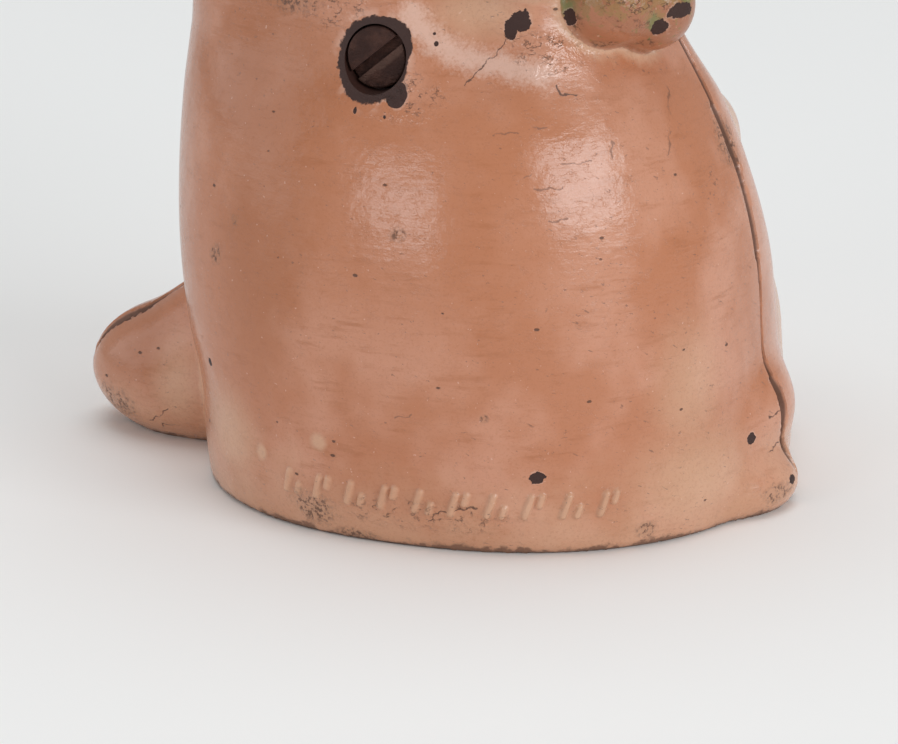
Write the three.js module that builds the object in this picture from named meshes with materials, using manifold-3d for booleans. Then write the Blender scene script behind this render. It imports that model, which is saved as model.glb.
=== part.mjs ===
// A cast-iron coin bank in the form of a chubby seated puppy. Two hollow halves meet on an upright
// plane and one long screw, put in from the back, draws them together. Millimetres, +Z up; the dog
// looks along -Y and its left side is +X.
import * as THREE from 'three';
import { mergeVertices } from 'three/addons/utils/BufferGeometryUtils.js';
import Module from 'manifold-3d';

const wasm = await Module();
wasm.setup();

// Driving dimensions, measured from the middle of the base on the plane where the halves meet
const WALL = 3;
const PARTING_GAP = 0.3;
const FLOOR_THICKNESS = 3;

// The body: at each height, how far it reaches to the dog's left and right, its back and its front
const BODY_PROFILE = [
  { height: -4, left: 37.6, right: 37.5, back: 35.4, front: 34 },
  { height: 0, left: 38.6, right: 38.2, back: 36.2, front: 35 },
  { height: 6, left: 39.0, right: 38.8, back: 37.9, front: 36.5 },
  { height: 14, left: 39.4, right: 37.2, back: 38.8, front: 36 },
  { height: 22, left: 41.3, right: 36.6, back: 38.9, front: 34 },
  { height: 32, left: 42.6, right: 35.9, back: 38.0, front: 29 },
  { height: 42, left: 42.9, right: 33.7, back: 36.2, front: 23 },
  { height: 52, left: 42.6, right: 29.6, back: 33.0, front: 21 },
  { height: 60, left: 42.0, right: 25.2, back: 28.8, front: 13.5 },
  { height: 66, left: 41.4, right: 21.4, back: 27.2, front: 15.5 },
  { height: 71, left: 38.0, right: 19.8, back: 26.6, front: 16 },
  { height: 76, left: 31.0, right: 18.5, back: 23.5, front: 16 },
  { height: 82, left: 22.0, right: 14.0, back: 17.0, front: 14 },
];
const BODY_TOP = 83;
const BODY_SQUARENESS = 2.2;
const BODY_MIDDLE = new THREE.Vector3(4, 0, 28);

// The belly and the chest, and the haunch and heel on the right, swell softly out of the body
const HEEL = { centre: [-31, 3, 3], reach: [11.4, 11, 5.9], softness: 2.2 };
const BODY_SWELLS = [
  { centre: [6, -12, 25], reach: [29, 26, 23], softness: 6 },
  { centre: [8, -9, 51], reach: [21, 16, 20], softness: 5 },
  { centre: [-29.3, -2, 11.5], reach: [10.6, 12, 7.5], softness: 3.5 },
  HEEL,
];

// The hollow pressed in between the shoulder and the neck, at the back right
const NECK_HOLLOW = { centre: [-11.5, 33.5, 69.5], reach: [15, 13, 11], softness: 1.2 };

const HIND_FEET = [
  [
    { centre: [44, -3.3, 7.9], reach: [17, 12.4, 10.3] },
    { centre: [33.5, -1.6, 12.8], reach: [16.3, 11.7, 12.6], softness: 5 },
  ],
  [
    { centre: [-21.9, -18.4, 8.6], reach: [10.9, 19, 9.3] },
    { centre: [-22.5, -13, 18.1], reach: [11.5, 15, 14.6], softness: 5 },
  ],
];
const FORELEGS = [
  { shoulder: [-22, -13, 44.9], wrist: [-7, -34, 9], thick: 6.6, thin: 7.8, paw: [-7, -41, 5.6] },
  { shoulder: [30, -13, 49], wrist: [20, -34, 9], thick: 10.4, thin: 7.8, paw: [20, -41, 5.6] },
];
const PAW_REACH = [9, 10.8, 7];

// The head, in a frame of its own about its middle, turned and tilted a little to the dog's right
const HEAD_MIDDLE = [9, -1, 95];
const HEAD_TILT = THREE.MathUtils.degToRad(-5);
const HEAD_TURN = THREE.MathUtils.degToRad(-9);
const SKULL = { centre: [0, 1, 2], reach: [35, 30, 27.4] };
const CHEEK = { centre: [15, -15, -10], reach: [17, 15, 13.5] };
const BROW = { centre: [12, -23, 10], reach: [9, 8, 7] };
const MUZZLE = { centre: [0, -28, -9], reach: [15, 14.5, 11] };
const CHIN = { centre: [0, -24, -17], reach: [10, 10, 7] };
const NOSE = { centre: [0, -41.4, -4], reach: [5.6, 4.2, 4] };
const EYE = { centre: [12, -29.2, 2.4], reach: [3.6, 2.6, 4.2] };
const EAR = { middle: [34.5, 3, -1], thickness: 6.4, width: 11.5, length: 23, spread: 3.5, taper: 0.22 };

// The ribbon round the neck and the bow tied at its back right
const RIBBON = { centre: [7.4, 3, 74.4], reach: [26.6, 21], thickness: 3.6, facets: [32, 6] };
const BOW = [
  { centre: [-23.7, 10, 67.6], reach: [6, 5.8, 6.1] },
  { centre: [-19.7, 15, 68.4], reach: [6.7, 5.6, 5.5] },
  { centre: [-12, 21.5, 77.5], reach: [10.5, 6.2, 7] },
];

const COIN_SLOT = { middle: [9, 106], length: 30, width: 3.4 };

// The screw runs along Y through a post in each half
const SCREW = {
  x: 6.7, z: 61.7, headRadius: 4, headBack: 27.5, headThickness: 2.8, shankRadius: 2.2, tip: -12,
  slotWidth: 1.3, slotDepth: 1.1, slotAngle: THREE.MathUtils.degToRad(40), clearance: 0.3,
};
const POST_RADIUS = 6.2;

// The raised marks: pairs of slanting strokes in a row round the back, just above the base
const MARKS = {
  height: 6.9, first: 23, last: -41, pairs: 10, lean: THREE.MathUtils.degToRad(18),
  long: 3.6, short: 2, width: 0.8, proud: 0.4, apart: 1.6,
};

// A closed solid from a geometry, its doubled corners joined
function solidFrom(geometry) {
  geometry.deleteAttribute('normal');
  geometry.deleteAttribute('uv');
  const joined = mergeVertices(geometry);
  const vertProperties = new Float32Array(joined.getAttribute('position').array);
  const triVerts = new Uint32Array(joined.getIndex().array);
  return new wasm.Manifold(new wasm.Mesh({ numProp: 3, vertProperties, triVerts }));
}

function geometryFrom(solid) {
  const { vertProperties, triVerts } = solid.getMesh();
  const geometry = new THREE.BufferGeometry();
  geometry.setAttribute('position', new THREE.BufferAttribute(vertProperties, 3));
  geometry.setIndex(new THREE.BufferAttribute(triVerts, 1));
  geometry.computeVertexNormals();
  return geometry;
}

// Roughly how far a point lies outside an egg
function egg({ centre, reach }, x, y, z) {
  const near = Math.hypot((x - centre[0]) / reach[0], (y - centre[1]) / reach[1], (z - centre[2]) / reach[2]);
  const slope = Math.hypot(
    (x - centre[0]) / reach[0] ** 2, (y - centre[1]) / reach[1] ** 2, (z - centre[2]) / reach[2] ** 2,
  );
  return near * (near - 1) / (slope + 1e-9);
}

// How far a point lies outside a rounded, tapering limb
function limb(start, end, startRadius, endRadius, x, y, z) {
  const along = end.map((value, axis) => value - start[axis]);
  const from = [x - start[0], y - start[1], z - start[2]];
  const length = along.reduce((sum, value) => sum + value * value, 0);
  const dot = from.reduce((sum, value, axis) => sum + value * along[axis], 0);
  const share = THREE.MathUtils.clamp(dot / length, 0, 1);
  const away = Math.hypot(...from.map((value, axis) => value - along[axis] * share));
  return away - THREE.MathUtils.lerp(startRadius, endRadius, share);
}

// The nearer of two distances, with a fillet of about the given softness where they meet
function fillet(first, second, softness) {
  const share = THREE.MathUtils.clamp(0.5 + 0.5 * (second - first) / softness, 0, 1);
  return THREE.MathUtils.lerp(second, first, share) - softness * share * (1 - share);
}

// A smooth curve through one column of the body's profile
function profileAt(side, height) {
  const last = BODY_PROFILE.length - 1;
  const slope = (index) => {
    const below = BODY_PROFILE[Math.max(index - 1, 0)];
    const above = BODY_PROFILE[Math.min(index + 1, last)];
    return (above[side] - below[side]) / (above.height - below.height);
  };
  const level = THREE.MathUtils.clamp(height, BODY_PROFILE[0].height, BODY_PROFILE[last].height);
  let index = 0;
  while (index < last - 1 && BODY_PROFILE[index + 1].height < level) index += 1;
  const low = BODY_PROFILE[index];
  const high = BODY_PROFILE[index + 1];
  const step = high.height - low.height;
  const t = (level - low.height) / step;
  return (2 * t ** 3 - 3 * t ** 2 + 1) * low[side] + (t ** 3 - 2 * t ** 2 + t) * step * slope(index)
    + (3 * t ** 2 - 2 * t ** 3) * high[side] + (t ** 3 - t ** 2) * step * slope(index + 1);
}

// The body's radius at a height, in the direction of a point
function girth(x, y, z) {
  const out = Math.hypot(x, y) + 1e-9;
  const across = profileAt(x > 0 ? 'left' : 'right', z);
  const deep = profileAt(y > 0 ? 'back' : 'front', z);
  return (Math.abs(x / out / across) ** BODY_SQUARENESS
    + Math.abs(y / out / deep) ** BODY_SQUARENESS) ** (-1 / BODY_SQUARENESS);
}

// Eggs melted into a form one after another, each with its own fillet
function melt(eggs, distance, x, y, z) {
  return eggs.reduce((nearest, lump) => fillet(nearest, egg(lump, x, y, z), lump.softness), distance);
}

function body(x, y, z) {
  const torso = Math.max(0.93 * (Math.hypot(x, y) - girth(x, y, z)), z - BODY_TOP);
  const swollen = melt(BODY_SWELLS, torso, x, y, z);
  return -melt([NECK_HOLLOW], -swollen, x, y, z);
}

function hindFoot([foot, ...lumps], x, y, z) {
  return melt(lumps, egg(foot, x, y, z), x, y, z);
}

function head(x, y, z) {
  const side = Math.abs(x);
  const lumps = [[CHEEK, 6], [BROW, 5], [MUZZLE, 5], [CHIN, 4]];
  return lumps.reduce(
    (distance, [lump, softness]) => fillet(distance, egg(lump, side, y, z), softness), egg(SKULL, side, y, z),
  );
}

// A ball whose skin is pushed out from a middle point until it lies on a form
function swell(form, middle, columns, rows, reach = 75) {
  const geometry = new THREE.SphereGeometry(1, columns, rows);
  geometry.rotateX(Math.PI / 2);
  const corners = geometry.getAttribute('position');
  const direction = new THREE.Vector3();
  const point = new THREE.Vector3();
  const inside = (far) => {
    point.copy(direction).multiplyScalar(far).add(middle);
    return form(point.x, point.y, point.z) < 0;
  };
  const step = reach / 75;
  for (let corner = 0; corner < corners.count; corner += 1) {
    direction.fromBufferAttribute(corners, corner).normalize();
    let low = reach;
    while (low > step && !inside(low)) low -= step;
    let high = low + step;
    for (let halving = 0; halving < 14; halving += 1) {
      const half = (low + high) / 2;
      if (inside(half)) low = half;
      else high = half;
    }
    point.copy(direction).multiplyScalar(low).add(middle);
    corners.setXYZ(corner, point.x, point.y, point.z);
  }
  return geometry;
}

function ball({ centre, reach }, columns, rows) {
  return new THREE.SphereGeometry(1, columns, rows).scale(...reach).translate(...centre);
}

// A round bar along Y between two depths, on the screw's axis
function bar(radius, front, back, sides = 16) {
  return new THREE.CylinderGeometry(radius, radius, back - front, sides)
    .translate(SCREW.x, (front + back) / 2, 0).translate(0, 0, SCREW.z);
}

function placed(geometries, pose) {
  return geometries.map((geometry) => geometry.applyMatrix4(pose));
}

function join(geometries) {
  return geometries.map(solidFrom).reduce((whole, part) => whole.add(part));
}

// The head, with the eyes, the nose and two drop ears
function headPieces() {
  const pose = new THREE.Matrix4()
    .makeTranslation(...HEAD_MIDDLE)
    .multiply(new THREE.Matrix4().makeRotationY(HEAD_TILT))
    .multiply(new THREE.Matrix4().makeRotationZ(HEAD_TURN));
  const pieces = [swell(head, new THREE.Vector3(0, 0, 0), 34, 22, 60), ball(NOSE, 10, 6)];
  for (const side of [-1, 1]) {
    const [eyeX, eyeY, eyeZ] = EYE.centre;
    pieces.push(ball({ centre: [side * eyeX, eyeY, eyeZ], reach: EYE.reach }, 10, 6), earPiece(side));
  }
  return placed(pieces, pose);
}

// A drop ear: a flat egg, broader and further out at its tip
function earPiece(side) {
  const ear = new THREE.SphereGeometry(1, 14, 9);
  ear.rotateX(Math.PI / 2);
  const corners = ear.getAttribute('position');
  for (let corner = 0; corner < corners.count; corner += 1) {
    const height = corners.getZ(corner);
    const across = EAR.middle[0] - EAR.spread * height + side * corners.getX(corner) * EAR.thickness;
    const deep = EAR.middle[1] + corners.getY(corner) * EAR.width * (1 - EAR.taper * height);
    corners.setXYZ(corner, side * across, deep, EAR.middle[2] + height * EAR.length);
  }
  return ear;
}

function legPieces() {
  return FORELEGS.flatMap(({ shoulder, wrist, thick, thin, paw }) => {
    const leg = (x, y, z) => limb(shoulder, wrist, thick, thin, x, y, z);
    const middle = new THREE.Vector3(...shoulder).lerp(new THREE.Vector3(...wrist), 0.5);
    return [swell(leg, middle, 14, 10, 45), ball({ centre: paw, reach: PAW_REACH }, 14, 8)];
  });
}

function footPieces() {
  return HIND_FEET.map((eggs) => {
    const form = (x, y, z) => hindFoot(eggs, x, y, z);
    return swell(form, new THREE.Vector3(...eggs[0].centre), 18, 12, 45);
  });
}

function bowPieces() {
  const { centre, reach, thickness, facets: [along, round] } = RIBBON;
  const ribbon = new THREE.TorusGeometry(reach[0], thickness, round, along);
  ribbon.scale(1, reach[1] / reach[0], 1).translate(...centre);
  return [ribbon, ...BOW.map((lobe) => ball(lobe, 12, 7))];
}

// Two slanting strokes, one long and one short, for each place in the row
function markPieces() {
  const strokes = [];
  for (let pair = 0; pair < MARKS.pairs; pair += 1) {
    const share = pair / (MARKS.pairs - 1);
    const turn = THREE.MathUtils.degToRad(THREE.MathUtils.lerp(MARKS.first, MARKS.last, share));
    const radius = girth(Math.sin(turn), Math.cos(turn), MARKS.height) + MARKS.proud;
    const rise = (pair % 2 ? 0.5 : -0.5) * (MARKS.long - MARKS.short);
    for (const [length, aside, lift] of [[MARKS.long, -0.5, 0], [MARKS.short, 0.5, rise]]) {
      const stroke = new THREE.BoxGeometry(MARKS.width, 2, length);
      stroke.rotateY(-MARKS.lean).translate(-aside * MARKS.apart, -1, lift);
      stroke.rotateX(-0.04).translate(0, radius, 0).rotateZ(-turn).translate(0, 0, MARKS.height);
      strokes.push(stroke);
    }
  }
  return strokes;
}

function below(height) {
  return new THREE.BoxGeometry(300, 300, 100).translate(0, 0, height - 50);
}

function halfSpace(side) {
  return solidFrom(new THREE.BoxGeometry(300, 150, 300).translate(0, side * (75 + PARTING_GAP / 2), 60));
}

// The space inside, the wall's thickness in from the skin, with a throat between body and head
function cavity() {
  const inBody = (x, y, z) => Math.max(body(x, y, z) + WALL, FLOOR_THICKNESS - z);
  const inHead = (x, y, z) => head(x, y, z) + WALL;
  const pose = new THREE.Matrix4().makeTranslation(...HEAD_MIDDLE);
  const throat = { centre: [HEAD_MIDDLE[0] - 1, 0, 75], reach: [17, 12, 14] };
  return join([
    swell(inBody, BODY_MIDDLE, 22, 13),
    ...placed([swell(inHead, new THREE.Vector3(0, 0, 0), 18, 11, 60)], pose),
    ball(throat, 12, 8),
  ]);
}

const outside = join([
  swell(body, BODY_MIDDLE, 42, 25), ball(HEEL, 16, 10), ...headPieces(), ...legPieces(), ...footPieces(),
  ...bowPieces(), ...markPieces(),
]).subtract(solidFrom(below(0)));
const shell = outside.subtract(cavity());

const posts = { back: [PARTING_GAP / 2, SCREW.headBack - 1.5], front: [-18, -PARTING_GAP / 2] };
const slotBox = new THREE.BoxGeometry(COIN_SLOT.length, 60, COIN_SLOT.width)
  .translate(COIN_SLOT.middle[0], 32, COIN_SLOT.middle[1]);
const headPocket = bar(
  SCREW.headRadius + SCREW.clearance, SCREW.headBack - SCREW.headThickness - SCREW.clearance, 45, 24,
);
const shankHole = bar(SCREW.shankRadius + SCREW.clearance, SCREW.tip - 2, 45);

const backSolid = shell.intersect(halfSpace(1))
  .add(solidFrom(bar(POST_RADIUS, ...posts.back)))
  .subtract(solidFrom(slotBox)).subtract(solidFrom(headPocket)).subtract(solidFrom(shankHole));
const frontSolid = shell.intersect(halfSpace(-1))
  .add(solidFrom(bar(POST_RADIUS, ...posts.front)))
  .subtract(solidFrom(shankHole));

// A slotted cheese-head screw, turned in one with its shank
function screwSolid() {
  const { headRadius, headBack, headThickness, shankRadius, tip } = SCREW;
  const profile = [
    [0, tip], [shankRadius - 0.8, tip], [shankRadius, tip + 0.8], [shankRadius, headBack - headThickness],
    [headRadius, headBack - headThickness], [headRadius, headBack - 0.4], [headRadius - 0.5, headBack],
    [0, headBack],
  ].map(([radius, depth]) => new THREE.Vector2(radius, depth));
  const turned = new THREE.LatheGeometry(profile, 24).translate(SCREW.x, 0, SCREW.z);
  const slot = new THREE.BoxGeometry(12, 2 * SCREW.slotDepth, SCREW.slotWidth)
    .rotateY(SCREW.slotAngle).translate(SCREW.x, headBack, SCREW.z);
  return solidFrom(turned).subtract(solidFrom(slot));
}

const paint = new THREE.MeshStandardMaterial({ color: '#b97a5c', roughness: 0.38, metalness: 0 });
const iron = new THREE.MeshStandardMaterial({ color: '#3a2724', roughness: 0.6, metalness: 0.6 });

function piece(name, solid, material) {
  const mesh = new THREE.Mesh(geometryFrom(solid), material);
  mesh.name = name;
  return mesh;
}

// The whole bank, moved so that the middle of the box round it stands on the origin
const bank = new THREE.Group();
bank.add(
  piece('back_half', backSolid, paint),
  piece('front_half', frontSolid, paint),
  piece('screw', screwSolid(), iron),
);
const size = new THREE.Box3().setFromObject(bank);
bank.position.set(-(size.min.x + size.max.x) / 2, -(size.min.y + size.max.y) / 2, -size.min.z);
bank.updateMatrixWorld(true);

export default bank;
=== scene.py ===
import math

import bmesh
import bpy
import numpy as np
from mathutils import Matrix, Vector


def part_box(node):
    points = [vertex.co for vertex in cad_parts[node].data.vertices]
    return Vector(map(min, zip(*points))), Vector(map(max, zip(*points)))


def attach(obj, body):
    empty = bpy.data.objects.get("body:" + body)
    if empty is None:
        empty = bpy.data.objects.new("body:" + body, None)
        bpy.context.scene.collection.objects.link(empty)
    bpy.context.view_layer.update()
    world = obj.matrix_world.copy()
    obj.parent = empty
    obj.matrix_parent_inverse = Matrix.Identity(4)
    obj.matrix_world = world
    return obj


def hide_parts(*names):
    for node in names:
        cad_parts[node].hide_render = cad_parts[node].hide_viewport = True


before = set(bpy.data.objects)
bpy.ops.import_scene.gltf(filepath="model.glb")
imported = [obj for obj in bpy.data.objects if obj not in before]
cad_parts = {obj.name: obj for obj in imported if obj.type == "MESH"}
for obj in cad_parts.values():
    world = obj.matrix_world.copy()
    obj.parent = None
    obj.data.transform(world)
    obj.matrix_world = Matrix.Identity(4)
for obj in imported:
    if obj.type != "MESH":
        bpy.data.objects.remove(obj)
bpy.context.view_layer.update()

MM = 0.001


# The pattern
# The whole figure as the pattern maker shaped it, before it was parted: a chubby seated puppy. Sizes
# are in millimetres from the middle of the base, on the plane where the halves meet; the dog looks
# along -Y and its left side is +X. It is cast in grey iron, a back half and a front half.
SHRINKAGE = 0.03
BASE_ROUNDING = 0.8
GRAIN = 0.7
FINER = [(1.7, 0), (1, 2.5), (0, 1.2)]
TINY = 1e-9
HALVINGS = 8

# At each height, how far the body reaches to the dog's left and right, its back and its front
BODY_PROFILE = np.array([
    (-4, 37.6, 37.5, 35.4, 34),
    (0, 38.6, 38.2, 36.2, 35),
    (6, 39.0, 38.8, 37.9, 36.5),
    (14, 39.4, 37.2, 38.8, 36),
    (22, 41.3, 36.6, 38.9, 34),
    (32, 42.6, 35.9, 38.0, 29),
    (42, 42.9, 33.7, 36.2, 23),
    (52, 42.6, 29.6, 33.0, 21),
    (60, 42.0, 25.2, 28.8, 13.5),
    (66, 41.4, 21.4, 27.2, 15.5),
    (71, 38.0, 19.8, 26.6, 16),
    (76, 31.0, 18.5, 23.5, 16),
    (82, 22.0, 14.0, 17.0, 14),
])
BODY_TOP = 83
BODY_SQUARENESS = 2.2
BODY_STEEPNESS = 0.93
BELOW_BASE = 3

# Each swelling: its middle, its reach along X, Y and Z, and how softly it melts into what is there
BODY_SWELLS = [
    ((6, -12, 25), (29, 26, 23), 6),
    ((8, -9, 51), (21, 16, 20), 5),
    ((-29.3, -2, 11.5), (10.6, 12, 7.5), 3.5),
    ((-31, 3, 3), (11.4, 11, 5.9), 2.2),
]
LEFT_FOOT = [((44, -3.3, 7.9), (17, 12.4, 10.3), 4), ((33.5, -1.6, 12.8), (16.3, 11.7, 12.6), 5)]
RIGHT_FOOT = [((-21.9, -18.4, 8.6), (10.9, 19, 9.3), 3), ((-22.5, -13, 18.1), (11.5, 15, 14.6), 5)]
FORELEGS = [
    ((-22, -13, 44.9), (-7, -34, 9), 6.6, 7.8),
    ((30, -13, 49), (20, -34, 9), 10.4, 7.8),
]
PAWS = [((-7, -41, 5.6), (9, 10.8, 7), 3), ((20, -41, 5.6), (9, 10.8, 7), 3)]

# The head lies in a frame of its own, tilted and turned a little to the dog's right
HEAD_MIDDLE = (9, -1, 95)
HEAD_POSE = (
    Matrix.Translation(HEAD_MIDDLE)
    @ Matrix.Rotation(math.radians(-5), 4, "Y")
    @ Matrix.Rotation(math.radians(-9), 4, "Z")
)
SKULL = ((0, 1, 2), (35, 30, 27.4), 0)
CHEEK = ((15, -15, -10), (17, 15, 13.5), 6)
BROW = ((12, -23, 10), (9, 8, 7), 5)
MUZZLE = ((0, -28, -9), (15, 14.5, 11), 5)
CHIN = ((0, -24, -17), (10, 10, 7), 4)
NOSE = ((0, -41.4, -4), (5.6, 4.2, 4), 1.2)
EYE = ((12, -29.2, 2.4), (3.6, 2.6, 4.2), 0.6)
EAR_MIDDLE = (34.5, 3, -1)
EAR_REACH = (6.4, 11.5, 23)
EAR_SPREAD = 3.5
EAR_TAPER = 0.22

# The ribbon round the neck, and the knot and the two loops of the bow at its back right
RIBBON_MIDDLE = (7.4, 3, 74.4)
RIBBON_REACH = (26.6, 21)
RIBBON_SECTION = (3, 3.8)
BOW = [
    ((-23.7, 10, 67.6), (6, 5.8, 6.1), 1.5),
    ((-19.7, 15, 68.4), (6.7, 5.6, 5.5), 1.5),
    ((-12, 21.5, 77.5), (10.5, 6.2, 7), 1.5),
]

# The hollow pressed in between the shoulder and the neck, at the back right
NECK_HOLLOW = ((-12, 33.9, 73), (18.9, 12.1, 16.5), 2.5)

# The row of marks: raised strokes, long and short in turn, all leaning the same way
MARKS_HEIGHT = 6.9
MARKS_FROM, MARKS_TO = math.radians(23), math.radians(-41)
MARK_PAIRS = 10
MARK_LEAN = math.radians(18)
MARK_LENGTHS = (3.6, 2.0)
MARK_RADIUS = 0.42
MARK_RISE = 0.42
MARKS_APART = 1.6
MARKS_BEHIND = 5
FAR_FROM_MARKS = 99.0

# The eased edge along the parting line, and where the halves gape: the side (1 is the dog's left), the
# height, how far up and down, and how much wider
GROOVE_WIDTH = 0.6
GROOVE_DEPTH = 1.0
GAPES = [
    (-1, 47, 5, 0.8), (-1, 36, 4, 0.5), (-1, 24, 5, -0.4), (-1, 13.5, 3, 0.7), (-1, 6, 2.2, 0.8),
    (1, 13, 6, 1.3),
]


def outside_egg(share, reach):
    """Roughly how far each point lies outside an egg, from its place counted in the egg's reaches."""
    near = np.linalg.norm(share, axis=1)
    return near * (near - 1) / (np.linalg.norm(share / reach, axis=1) + TINY)


def egg(points, middle, reach):
    return outside_egg((points - middle) / reach, reach)


def limb(points, start, end, start_radius, end_radius):
    """How far each point lies outside a rounded, tapering limb."""
    start = np.array(start, float)
    along = np.array(end, float) - start
    share = np.clip((points - start) @ along / (along @ along), 0, 1)
    away = np.linalg.norm(points - start - share[:, None] * along, axis=1)
    return away - (start_radius + (end_radius - start_radius) * share)


def melt(first, second, softness):
    """The nearer of two distances, with a fillet where they meet."""
    share = np.clip(0.5 + 0.5 * (second - first) / softness, 0, 1)
    return second + (first - second) * share - softness * share * (1 - share)


def profile(column, height):
    """A smooth curve through one column of the body's profile."""
    levels, values = BODY_PROFILE[:, 0], BODY_PROFILE[:, column]
    slopes = np.gradient(values, levels)
    slopes[1:-1] = (values[2:] - values[:-2]) / (levels[2:] - levels[:-2])
    height = np.clip(height, levels[0], levels[-1])
    index = np.clip(np.searchsorted(levels, height) - 1, 0, len(levels) - 2)
    step = levels[index + 1] - levels[index]
    t = (height - levels[index]) / step
    return (
        (2 * t**3 - 3 * t**2 + 1) * values[index]
        + (t**3 - 2 * t**2 + t) * step * slopes[index]
        + (3 * t**2 - 2 * t**3) * values[index + 1]
        + (t**3 - t**2) * step * slopes[index + 1]
    )


def girth(points):
    """The body's radius at each point's height, in that point's direction."""
    x, y, z = points.T
    out = np.hypot(x, y) + TINY
    across = np.where(x > 0, profile(1, z), profile(2, z))
    deep = np.where(y > 0, profile(3, z), profile(4, z))
    power = BODY_SQUARENESS
    share = np.abs(x / out / across) ** power + np.abs(y / out / deep) ** power
    return (share + TINY) ** (-1 / power)


def body(points):
    torso = BODY_STEEPNESS * (np.hypot(points[:, 0], points[:, 1]) - girth(points))
    shape = np.maximum(torso, np.maximum(points[:, 2] - BODY_TOP, -BELOW_BASE - points[:, 2]))
    for middle, reach, softness in BODY_SWELLS:
        shape = melt(shape, egg(points, middle, reach), softness)
    middle, reach, softness = NECK_HOLLOW
    return -melt(-shape, egg(points, middle, reach), softness)


def foot(points, eggs):
    shape = egg(points, *eggs[0][:2])
    for middle, reach, softness in eggs[1:]:
        shape = melt(shape, egg(points, middle, reach), softness)
    return shape


def mirrored(points):
    """The points, with those on the head's right side turned over to its left."""
    turned_over = points.copy()
    turned_over[:, 0] = np.abs(turned_over[:, 0])
    return turned_over


def head(points):
    """The head in its own frame, with the eyes and the nose."""
    points = mirrored(points)
    shape = egg(points, *SKULL[:2])
    for middle, reach, softness in (CHEEK, BROW, MUZZLE, CHIN, NOSE, EYE):
        shape = melt(shape, egg(points, middle, reach), softness)
    return shape


def ears(points):
    """Both hanging ears in the head's frame, standing off and narrowing towards the top."""
    height = (points[:, 2] - EAR_MIDDLE[2]) / EAR_REACH[2]
    across = (np.abs(points[:, 0]) - EAR_MIDDLE[0] + EAR_SPREAD * height) / EAR_REACH[0]
    deep = (points[:, 1] - EAR_MIDDLE[1]) / (EAR_REACH[1] * (1 - EAR_TAPER * height))
    return outside_egg(np.stack([across, deep, height], axis=1), EAR_REACH)


def ribbon(points):
    away = (points - RIBBON_MIDDLE) * (1 / RIBBON_REACH[0], 1 / RIBBON_REACH[1], 1)
    ring = (np.hypot(away[:, 0], away[:, 1]) - 1) * (RIBBON_REACH[0] + RIBBON_REACH[1]) / 2
    return egg(np.stack([ring, away[:, 2]], axis=1), (0, 0), RIBBON_SECTION)


def in_head_frame(points):
    turn = np.array(HEAD_POSE.inverted())
    return points @ turn[:3, :3].T + turn[:3, 3]


def figure(points):
    """The whole figure: below nothing inside, above nothing outside."""
    shape = body(points)
    for eggs, softness in ((LEFT_FOOT, 2.2), (RIGHT_FOOT, 2.5)):
        shape = melt(shape, foot(points, eggs), softness)
    for shoulder, wrist, thick, thin in FORELEGS:
        shape = melt(shape, limb(points, shoulder, wrist, thick, thin), 3)
    for middle, reach, softness in PAWS:
        shape = melt(shape, egg(points, middle, reach), softness)
    in_head = in_head_frame(points)
    shape = melt(shape, head(in_head), 2.5)
    shape = melt(shape, ears(in_head), 2)
    shape = melt(shape, ribbon(points), 1.2)
    for middle, reach, softness in BOW:
        shape = melt(shape, egg(points, middle, reach), softness)
    return shape


def marks(points):
    """How far each point lies from the middle line of the nearest stroke of the row, along the skin."""
    turn = np.arctan2(points[:, 0], points[:, 1])
    radius = np.hypot(points[:, 0], points[:, 1])
    nearest = np.full(len(points), FAR_FROM_MARKS)
    for pair in range(MARK_PAIRS):
        middle = MARKS_FROM + (MARKS_TO - MARKS_FROM) * pair / (MARK_PAIRS - 1)
        aside = (middle - turn) * radius
        rise = (0.5 if pair % 2 else -0.5) * (MARK_LENGTHS[0] - MARK_LENGTHS[1])
        for length, across, lift in ((MARK_LENGTHS[0], -0.5, 0), (MARK_LENGTHS[1], 0.5, rise)):
            half = length / 2 - MARK_RADIUS
            lean = np.array((math.sin(MARK_LEAN), math.cos(MARK_LEAN)))
            away = np.stack([aside - across * MARKS_APART, points[:, 2] - MARKS_HEIGHT - lift], axis=1)
            along = np.clip(away @ lean, -half, half)
            distance = np.linalg.norm(away - along[:, None] * lean, axis=1)
            nearest = np.minimum(nearest, distance)
    return np.where(points[:, 1] > MARKS_BEHIND, nearest, FAR_FROM_MARKS)


def skin(points):
    """The figure as cast: the marks raised, the parting line eased and the base's edge rounded."""
    raised = MARK_RISE * np.clip(1.5 - marks(points) / MARK_RADIUS, 0, 1)
    raised *= raised * (3 - 2 * raised / MARK_RISE) / MARK_RISE
    gape = np.ones(len(points))
    for side, level, spread, more in GAPES:
        share = np.exp(-(((points[:, 2] - level) / spread) ** 2))
        gape += np.where(points[:, 0] * side > 0, more * share, 0)
    eased = GROOVE_DEPTH * gape * np.clip(1 - (points[:, 1] / (GROOVE_WIDTH * gape)) ** 2, 0, 1)
    low = np.clip(1 - points[:, 2] / BASE_ROUNDING, 0, 1)
    rounded = BASE_ROUNDING * (1 - np.sqrt(1 - low**2))
    return figure(points) - raised + eased + rounded + SHRINKAGE


def corners(piece):
    points = np.zeros(len(piece.data.vertices) * 3)
    piece.data.vertices.foreach_get("co", points)
    return points.reshape(-1, 3)


def place_corners(piece, points):
    piece.data.vertices.foreach_set("co", points.ravel())
    piece.data.update()


def choose(*pieces):
    """Selects only these pieces; the last one is active."""
    bpy.ops.object.select_all(action="DESELECT")
    for piece in pieces:
        piece.select_set(True)
    bpy.context.view_layer.objects.active = pieces[-1]


def apply_modifier(piece, kind, **settings):
    choose(piece)
    modifier = piece.modifiers.new(kind.title(), kind)
    for name, value in settings.items():
        setattr(modifier, name, value)
    bpy.ops.object.modifier_apply(modifier=modifier.name)


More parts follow.
